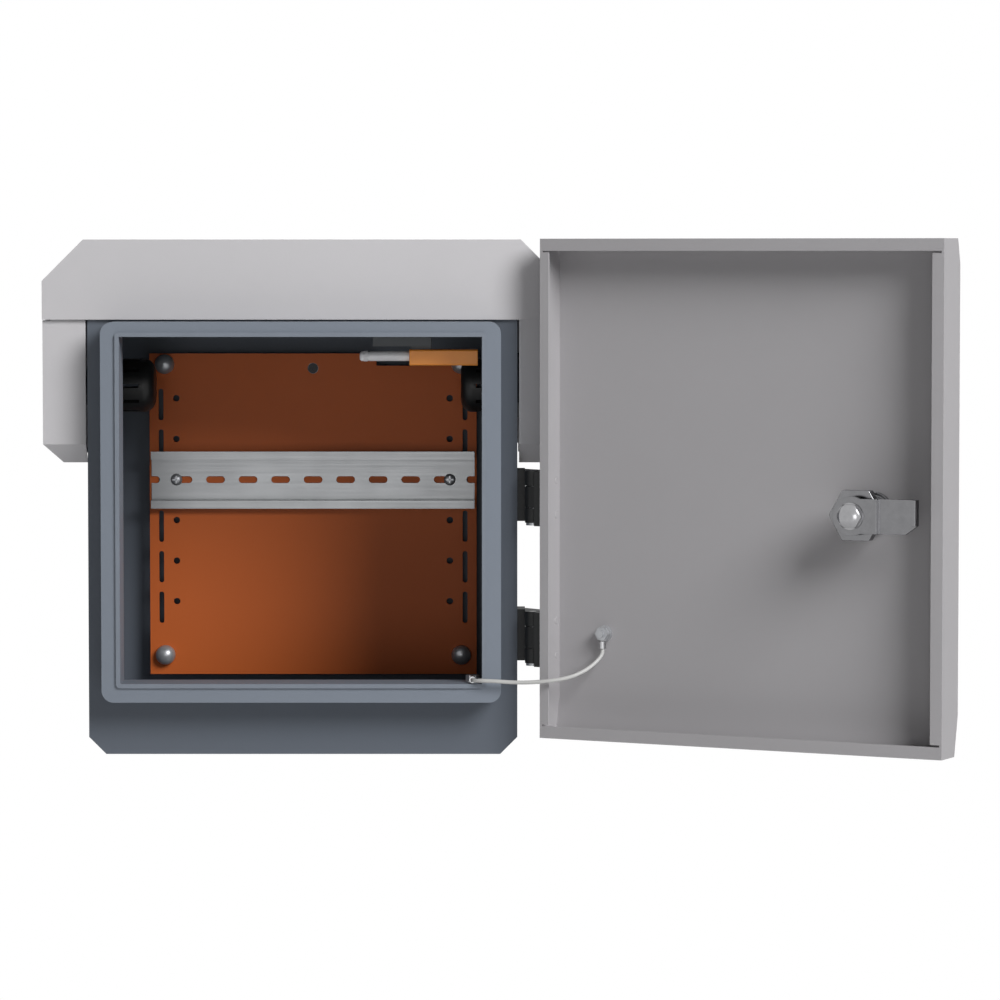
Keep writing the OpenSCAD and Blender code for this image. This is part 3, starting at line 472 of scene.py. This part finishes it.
def rib_ring_tree(name, material):
    """Straight ribs round a circle about Z, turned and moved to where the ring stands."""
    shape = Shape(name, [("Ribs", "NodeSocketInt"), ("Ring Radius", "NodeSocketFloat"),
                         ("Rib Size", "NodeSocketVector")])
    ring = shape.node("GeometryNodeMeshCircle", {}, {
        "Vertices": shape.given("Ribs"), "Radius": shape.given("Ring Radius")})
    rib = shape.node("GeometryNodeMeshCube", {}, {"Size": shape.given("Rib Size")})
    index = shape.node("GeometryNodeInputIndex")
    turn = vector(shape, 0.0, 0.0, index * (2 * math.pi) / shape.given("Ribs"))
    ribs = shape.node("GeometryNodeInstanceOnPoints", {}, {"Points": ring, "Instance": rib, "Rotation": turn})
    return shape.finish(ribs, material)


def grow(name, tree, points, inputs, body):
    """Runs a tree on loose points and keeps its result as a plain mesh that rides on a body."""
    seeds = bpy.data.meshes.new(name + "_points")
    seeds.from_pydata([tuple(p) for p in points], [], [])
    carrier = as_object(name + "_carrier", seeds)
    modifier = carrier.modifiers.new(name, "NODES")
    modifier.node_group = tree
    for item in tree.interface.items_tree:
        if item.item_type == "SOCKET" and item.in_out == "INPUT" and item.name in inputs:
            modifier[item.identifier] = inputs[item.name]
    carrier.update_tag()
    graph = bpy.context.evaluated_depsgraph_get()
    mesh = bpy.data.meshes.new_from_object(carrier.evaluated_get(graph), depsgraph=graph)
    mesh.name = name
    bpy.data.objects.remove(carrier)
    if not mesh.polygons:
        raise RuntimeError(f"{name}: the tree made no faces")
    return as_object(name, mesh, body)


def far_ends(node, direction):
    """The middle of each loose part's end, furthest along a direction."""
    work = bmesh.new()
    work.from_mesh(nodes[node].data)
    bmesh.ops.remove_doubles(work, verts=work.verts, dist=0.01 * MM)
    ends = []
    waiting = set(work.verts)
    while waiting:
        part = [waiting.pop()]
        for vert in part:
            for edge in vert.link_edges:
                other = edge.other_vert(vert)
                if other in waiting:
                    waiting.remove(other)
                    part.append(other)
        reach = max(vert.co.dot(direction) for vert in part)
        rim = [vert.co for vert in part if vert.co.dot(direction) > reach - 0.02 * MM]
        ends.append(sum(rim, Vector()) / len(rim))
    work.free()
    return ends


def facing(direction):
    """Euler angles that turn the Z axis to a direction."""
    return tuple(direction.to_track_quat("Z", "Y").to_euler())


# ---- Settings ----


class CabinetPaint(bpy.types.PropertyGroup):
    """Colours and skin of the painted steel."""

    # The body's and the rim's colours are one blue-grey paint. The body's is darkened, a painted shade, and
    # the rim's is made paler, a painted highlight on the rim band.
    body_shaded_colour: FloatVectorProperty(name="Body", description="Blue-grey paint of the body",
                                     subtype="COLOR", size=3, default=(0.098, 0.113, 0.138))
    rim_lit_colour: FloatVectorProperty(name="Rim", description="Blue-grey paint of the rim, a little paler",
                                    subtype="COLOR", size=3, default=(0.183, 0.209, 0.249))
    hood_colour: FloatVectorProperty(name="Hood", description="Light grey paint of the hood and shrouds",
                                     subtype="COLOR", size=3, default=(0.545, 0.535, 0.55))
    # The door's colour is the hood's light grey darkened, a painted shade over the door.
    door_shaded_colour: FloatVectorProperty(name="Door", description="Light grey paint of the door",
                                     subtype="COLOR", size=3, default=(0.385, 0.375, 0.387))
    plate_colour: FloatVectorProperty(name="Plate", description="Orange paint of the mounting plate",
                                      subtype="COLOR", size=3, default=(0.53, 0.112, 0.018))
    # The seal's rubber takes the rim's paler tone, the same painted highlight as the rim band.
    seal_lit_colour: FloatVectorProperty(name="Seal", description="Rubber of the rim's seal",
                                     subtype="COLOR", size=3, default=(0.185, 0.210, 0.250))
    paint_roughness: FloatProperty(name="Roughness", description="Mean roughness of the paint",
                                   default=0.54, min=0.1, max=0.9)
    peel_size: FloatProperty(name="Orange peel", description="Size of the paint's orange peel",
                             default=1.4 * MM, unit="LENGTH")
    peel_depth: FloatProperty(name="Peel depth", description="Depth of the paint's orange peel",
                              default=0.05 * MM, unit="LENGTH")


class CabinetEdges(bpy.types.PropertyGroup):
    """How far each kind of edge is broken."""

    fold: FloatProperty(name="Fold", description="Radius of the folded sheet's edges",
                        default=0.9 * MM, unit="LENGTH")
    sheared: FloatProperty(name="Sheared", description="Radius of cut sheet edges under paint",
                           default=0.35 * MM, unit="LENGTH")
    small: FloatProperty(name="Small parts", description="Radius of the edges of small plated parts",
                         default=0.25 * MM, unit="LENGTH")
    moulded: FloatProperty(name="Mouldings", description="Radius of the edges of moulded parts",
                           default=0.5 * MM, unit="LENGTH")


class CabinetFittings(bpy.types.PropertyGroup):
    """Sizes of the fittings that are drawn in more detail than the frame's solids."""

    screw_radius: FloatProperty(name="Screw head", description="Radius of the rail screws' heads",
                                default=3.6 * MM, unit="LENGTH")
    screw_height: FloatProperty(name="Head height", description="Height of the rail screws' heads",
                                default=2.5 * MM, unit="LENGTH")
    recess: FloatProperty(name="Recess", description="Width of the screws' cross recess",
                          default=0.8 * MM, unit="LENGTH")
    knurl: FloatProperty(name="Knurl", description="Length of the knurled band on the probe's stem",
                         default=2.4 * MM, unit="LENGTH")
    knurl_in: FloatProperty(name="Knurl place", description="How far the knurl stands in from the stem's tip",
                            default=3.4 * MM, unit="LENGTH")
    knurl_ribs: IntProperty(name="Knurl ribs", description="Ribs round the knurl", default=28, min=6, max=48)
    bolt_radius: FloatProperty(name="Bolt head", description="Corner radius of the head of the cam's bolt",
                               default=7.5 * MM, unit="LENGTH")
    bolt_height: FloatProperty(name="Bolt height", description="Height of the bolt's domed head",
                               default=4.0 * MM, unit="LENGTH")
    bolt_washer: FloatProperty(name="Bolt washer", description="Thickness of the washer under its head",
                               default=1.0 * MM, unit="LENGTH")
    knurl_rib: FloatProperty(name="Knurl rib", description="Width and height of one rib of the knurl",
                             default=0.35 * MM, unit="LENGTH")
    dab_radius: FloatProperty(name="Paint dab", description="Radius of the paint over a hinge screw's end",
                              default=2.2 * MM, unit="LENGTH")
    dab_height: FloatProperty(name="Dab height", description="Thickness of that paint",
                              default=0.5 * MM, unit="LENGTH")
    cable: FloatProperty(name="Cable", description="Diameter of the earth cable",
                         default=2.4 * MM, unit="LENGTH")


class CabinetStage(bpy.types.PropertyGroup):
    """Camera, lamps and floor."""

    lens: FloatProperty(name="Lens", description="Focal length of the camera in millimetres", default=161.0)
    camera: FloatVectorProperty(name="Camera", description="Where the camera stands", subtype="TRANSLATION",
                                size=3, default=(0.1149, -2.762, 0.1433))
    pitch: FloatProperty(name="Pitch", description="How far the camera looks down",
                         default=math.radians(3.186), subtype="ANGLE")
    key: FloatProperty(name="Key lamp", description="Power of the key lamp", default=83.0)
    fill: FloatProperty(name="Fill lamp", description="Power of the fill lamp", default=10.0)
    back: FloatProperty(name="Back lamp", description="Power of the lamp behind the cabinet", default=60.0)
    ambient: FloatProperty(name="Ambient", description="Strength of the light from all round", default=0.055)
    floor_drop: FloatProperty(name="Floor drop", description="How far the floor lies below the cabinet",
                              default=1.0, unit="LENGTH")
    floor_radius: FloatProperty(name="Floor radius", description="Radius of the round floor",
                                default=14.0, unit="LENGTH")


# ---- Operators ----

# How far the door stands open, as a turn about +Z from closed.
DOOR_TURN = math.radians(152.5)

# Route of the earth cable from the body's lug to the door's lug, door standing open, in millimetres.
CABLE_ROUTE = [
    (99, -184, -104.4), (99, -186.5, -104.4), (99.8, -189.2, -104.3), (102.5, -191.4, -104.2),
    (107, -192.6, -104.2), (113, -193.1, -104.4), (119, -193.4, -104.8), (126, -194, -105),
    (133, -195, -104.8), (140, -196, -104.2), (147, -196.4, -103.4), (154, -195.8, -102),
    (160, -194.4, -100), (165.5, -192, -97.2), (170, -189.4, -93.8), (173, -187.6, -90.6),
    (174, -186.8, -88), (174, -186.8, -86),
]

# Each lamp's name, place, diameter and the setting that holds its power, and the point they all face.
LAMPS = (
    ("Key lamp", (1.60, -2.25, 1.45), 1.5, "key"),
    ("Fill lamp", (-0.1, -3.3, -0.15), 1.2, "fill"),
    ("Back lamp", (-1.9, 2.3, 1.5), 1.8, "back"),
)
LAMP_AIM = (0.06, -0.16, 0.0)


class CABINET_OT_stage(bpy.types.Operator):
    """Sets up the camera, the lamps, the world and the floor"""

    bl_idname = "cabinet.stage"
    bl_label = "Stage"

    def area_lamp(self, name, place, size, power):
        lamp = bpy.data.lights.new(name, "AREA")
        lamp.shape = "DISK"
        lamp.size = size
        lamp.energy = power
        made = as_object(name, lamp)
        made.location = place
        made.rotation_euler = (Vector(LAMP_AIM) - Vector(place)).to_track_quat("-Z", "Y").to_euler()

    def white_world(self, ambient):
        world = bpy.data.worlds.new("White room")
        world.use_nodes = True
        world.node_tree.nodes.clear()
        graph = Graph(world.node_tree)
        strength = ambient + graph.seen_directly() * (1.0 - ambient)
        glow = graph.node("ShaderNodeBackground", {}, {"Color": WHITE, "Strength": strength})
        graph.node("ShaderNodeOutputWorld", {}, {"Surface": glow})
        bpy.context.scene.world = world

    def floor_finish(self):
        finish = Finish("floor")
        distance = finish.node("ShaderNodeVectorMath", {"operation": "LENGTH"}, {0: finish.place}, out=1)
        far = finish.node("ShaderNodeMapRange", {}, {
            "Value": distance, "From Min": 0.8, "From Max": 3.0, "To Min": 0.45, "To Max": 1.0})
        matt = finish.node("ShaderNodeBsdfDiffuse", {}, {"Color": (0.86, 0.86, 0.86, 1.0)})
        white = finish.node("ShaderNodeEmission", {}, {"Color": WHITE, "Strength": 1.0})
        paleness = far * finish.seen_directly()
        mixed = finish.node("ShaderNodeMixShader", {}, {0: paleness, 1: matt, 2: white})
        finish.node("ShaderNodeOutputMaterial", {}, {"Surface": mixed})
        return finish.material

    def execute(self, context):
        stage = context.scene.cabinet_stage
        lens = bpy.data.cameras.new("Camera")
        lens.lens = stage.lens
        lens.clip_end = 50.0
        camera = as_object("Camera", lens)
        camera.location = stage.camera
        camera.rotation_euler = (math.pi / 2 - stage.pitch, 0.0, 0.0)
        context.scene.camera = camera
        context.scene.view_settings.view_transform = "Standard"
        for name, place, size, power in LAMPS:
            self.area_lamp(name, place, size, getattr(stage, power))
        self.white_world(stage.ambient)
        low = cad_bounds[0][2] - stage.floor_drop
        work = bmesh.new()
        bmesh.ops.create_circle(work, cap_ends=True, segments=96, radius=stage.floor_radius)
        bmesh.ops.translate(work, verts=work.verts, vec=(0.0, 0.0, low))
        mesh = bpy.data.meshes.new("Floor")
        work.to_mesh(mesh)
        work.free()
        mesh.materials.append(self.floor_finish())
        as_object("Floor", mesh)
        return {"FINISHED"}


class CABINET_OT_earth(bpy.types.Operator):
    """Lays the earth cable between the body and the door, with its lugs and screws"""

    bl_idname = "cabinet.earth"
    bl_label = "Earth bond"

    def execute(self, context):
        width = context.scene.cabinet_fittings.cable
        route = [Vector(p) * MM for p in CABLE_ROUTE]
        mesh, line = sweep("earth_cable_sleeve", route, width / 2, 18, 0.7 * MM, 900.0, 6, 0.1 * MM)
        mesh.materials.append(finishes["cable_sleeve"])
        cable = as_object("earth_cable_sleeve", mesh)
        # The bend reaches past both lugs, so that the cable tucks behind the closed door.
        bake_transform(cable)
        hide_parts("earth_cable")
        length = sum((b - a).length for a, b in zip(line, line[1:]))
        for node in ("body_earth_lug", "door_earth_lug", "body_earth_screw", "door_earth_stud"):
            paint_node(node)
        return {"FINISHED"}


class CABINET_OT_body(bpy.types.Operator):
    """Paints the body, its rim, seal and gland plate"""

    bl_idname = "cabinet.body"
    bl_label = "Body"

    def execute(self, context):
        edges = context.scene.cabinet_edges
        dress("body_shell", edges.sheared)
        # The rim takes the body's paint made paler, a painted highlight.
        dress("rim_frame", edges.fold, finish="rim_paint")
        dress("gland_plate", edges.sheared)
        for node in ("rim_seal", "gland_plate_seal", "gland_plate_screws"):
            paint_node(node)
        return {"FINISHED"}


class CABINET_OT_hood(bpy.types.Operator):
    """Paints the rain hood and the side shrouds, and fits their screws"""

    bl_idname = "cabinet.hood"
    bl_label = "Hood"

    def execute(self, context):
        edges = context.scene.cabinet_edges
        for node in ("rain_hood", "left_shroud", "right_shroud"):
            dress(node, edges.sheared)
        for node in ("hood_screws", "shroud_screws"):
            paint_node(node)
        return {"FINISHED"}


class CABINET_OT_plate(bpy.types.Operator):
    """Paints the mounting plate and fits the rail, the domed bolts and the cross-head screws"""

    bl_idname = "cabinet.plate"
    bl_label = "Mounting plate"

    def execute(self, context):
        edges = context.scene.cabinet_edges
        fittings = context.scene.cabinet_fittings
        dress("mounting_plate", edges.small)
        dress("din_rail", edges.small)
        for node in ("plate_spacers", "plate_centre_screw"):
            paint_node(node)
        dress("plate_bolts", edges.small, angle=50.0)
        tree = cross_head_tree("Cross heads", finishes["zinc"])
        low, high = (Vector(c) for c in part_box("rail_screws"))
        heads = grow("rail_screw_heads", tree, [
            (x, low.y + fittings.screw_height, (low.z + high.z) / 2)
            for x in (low.x + fittings.screw_radius, high.x - fittings.screw_radius)], {
                "Head Radius": fittings.screw_radius, "Head Height": fittings.screw_height,
                "Recess Width": fittings.recess, "Facing": (math.pi / 2, 0.0, 0.0)}, "enclosure")
        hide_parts("rail_screws")
        return {"FINISHED"}


class CABINET_OT_vents(bpy.types.Operator):
    """Moulds the side vents and the ribs of their nuts"""

    bl_idname = "cabinet.vents"
    bl_label = "Side vents"

    def execute(self, context):
        edges = context.scene.cabinet_edges
        for node in ("left_vent", "right_vent", "vent_nuts"):
            dress(node, edges.moulded, segments=2)
        return {"FINISHED"}


class CABINET_OT_probe(bpy.types.Operator):
    """Moulds the probe and paints its bracket"""

    bl_idname = "cabinet.probe"
    bl_label = "Probe"

    def execute(self, context):
        edges = context.scene.cabinet_edges
        dress("probe_body", edges.moulded)
        dress("probe_bracket", edges.small)
        for node in ("probe_stem", "probe_bracket_screws"):
            paint_node(node)
        fittings = context.scene.cabinet_fittings
        low, high = (Vector(c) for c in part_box("probe_stem"))
        centre = (low + high) / 2
        tree = rib_ring_tree("Knurl", finishes["probe_white"])
        knurl = grow("probe_knurl", tree, [(low.x + fittings.knurl_in, centre.y, centre.z)], {
            "Ribs": fittings.knurl_ribs, "Ring Radius": (high.z - low.z) / 2,
            "Rib Size": (fittings.knurl_rib, fittings.knurl_rib, fittings.knurl),
            "Facing": (0.0, math.pi / 2, 0.0)}, "enclosure")
        return {"FINISHED"}


class CABINET_OT_hinges(bpy.types.Operator):
    """Moulds the hinge leaves and fits their pins and screws"""

    bl_idname = "cabinet.hinges"
    bl_label = "Hinges"

    def execute(self, context):
        edges = context.scene.cabinet_edges
        for place in ("upper", "lower"):
            for leaf in ("body", "door"):
                dress(f"{place}_hinge_{leaf}_leaf", edges.moulded)
            paint_node(f"{place}_hinge_pin")
        for node in ("hinge_body_screws", "hinge_door_screws"):
            paint_node(node)
        fittings = context.scene.cabinet_fittings
        inward = Vector((math.cos(DOOR_TURN), math.sin(DOOR_TURN), 0.0)) * -1
        dabs = grow("hinge_screw_paint", dab_tree("Paint dabs", finishes["door_paint"]),
                    far_ends("hinge_door_screws", inward), {
                        "Dab Radius": fittings.dab_radius, "Dab Height": fittings.dab_height,
                        "Facing": facing(inward)}, "door")
        return {"FINISHED"}


class CABINET_OT_door(bpy.types.Operator):
    """Paints the door"""

    bl_idname = "cabinet.door"
    bl_label = "Door"

    def execute(self, context):
        dress("door_panel", context.scene.cabinet_edges.sheared)
        return {"FINISHED"}


class CABINET_OT_lock(bpy.types.Operator):
    """Plates the lock, its cam and its screw"""

    bl_idname = "cabinet.lock"
    bl_label = "Lock"

    def execute(self, context):
        edges = context.scene.cabinet_edges
        for node in ("lock_escutcheon", "lock_core", "lock_cam"):
            dress(node, edges.small)
        dress("lock_housing", edges.moulded, segments=4)
        fittings = context.scene.cabinet_fittings
        inside = Vector((-math.sin(DOOR_TURN), math.cos(DOOR_TURN), 0.0))
        height = fittings.bolt_height + fittings.bolt_washer
        seat = far_ends("cam_screw", inside)[0] - inside * height
        bolt = grow("cam_bolt_head", domed_bolt_tree("Domed bolt", finishes["lock_bolt"]), [seat], {
            "Corner Radius": fittings.bolt_radius, "Head Height": fittings.bolt_height,
            "Washer Height": fittings.bolt_washer, "Facing": facing(inside)}, "lock")
        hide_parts("cam_screw")
        return {"FINISHED"}


class CABINET_PT_panel(bpy.types.Panel):
    """Buttons for each group of the cabinet's pieces"""

    bl_idname = "CABINET_PT_panel"
    bl_label = "Cabinet"
    bl_space_type = "VIEW_3D"
    bl_region_type = "UI"
    bl_category = "Cabinet"

    def draw(self, context):
        for operator in operators:
            self.layout.operator(operator.bl_idname)


settings = {
    "cabinet_paint": CabinetPaint,
    "cabinet_edges": CabinetEdges,
    "cabinet_fittings": CabinetFittings,
    "cabinet_stage": CabinetStage,
}
operators = [CABINET_OT_stage, CABINET_OT_earth, CABINET_OT_body, CABINET_OT_hood, CABINET_OT_plate,
             CABINET_OT_vents, CABINET_OT_probe, CABINET_OT_hinges, CABINET_OT_door, CABINET_OT_lock]


def register():
    for kind in [*settings.values(), *operators, CABINET_PT_panel]:
        bpy.utils.register_class(kind)
    for name, kind in settings.items():
        setattr(bpy.types.Scene, name, PointerProperty(type=kind))


def unregister():
    for name in settings:
        delattr(bpy.types.Scene, name)
    for kind in reversed([*settings.values(), *operators, CABINET_PT_panel]):
        bpy.utils.unregister_class(kind)


def main():
    register()
    make_finishes(bpy.context.scene.cabinet_paint)
    for operator in operators:
        group, name = operator.bl_idname.split(".")
        getattr(getattr(bpy.ops, group), name)()


if __name__ == "__main__":
    main()
